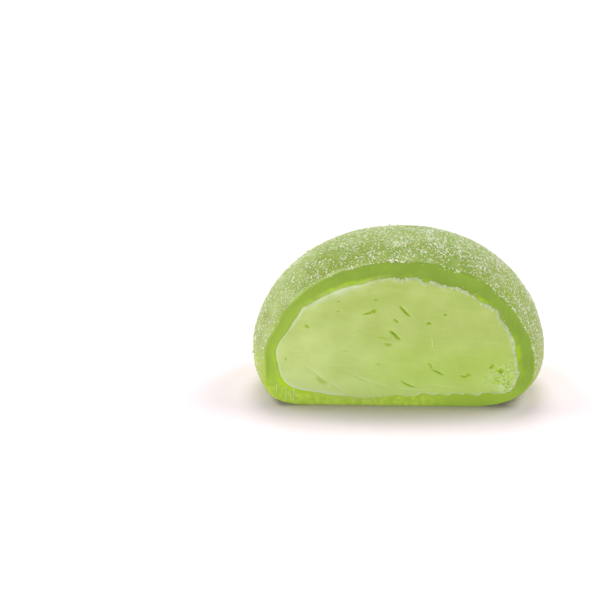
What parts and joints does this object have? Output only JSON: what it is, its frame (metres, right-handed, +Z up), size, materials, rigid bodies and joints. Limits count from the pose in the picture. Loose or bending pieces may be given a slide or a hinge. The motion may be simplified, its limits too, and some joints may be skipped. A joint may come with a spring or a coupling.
{
  "type": "mochi rice cake",
  "caption": "Green tea mochi cut through with a knife: a soft rice dough dome round a matcha filling, resting on its flat base.",
  "frame": {"origin": "middle of the cut piece on the flat base that it rests on", "axes": "+X to the right along the cut face, +Y away from the cut face, +Z up"},
  "size_m": [0.0447, 0.0313, 0.0244],
  "materials": {
    "rice_dough": "soft, satin rice dough dusted with potato starch outside",
    "matcha_paste": "smooth matt paste with fine knife marks"
  },
  "bodies": {
    "root": {"mochi_skin": "rice_dough", "matcha_filling": "matcha_paste"}
  },
  "joints": []
}
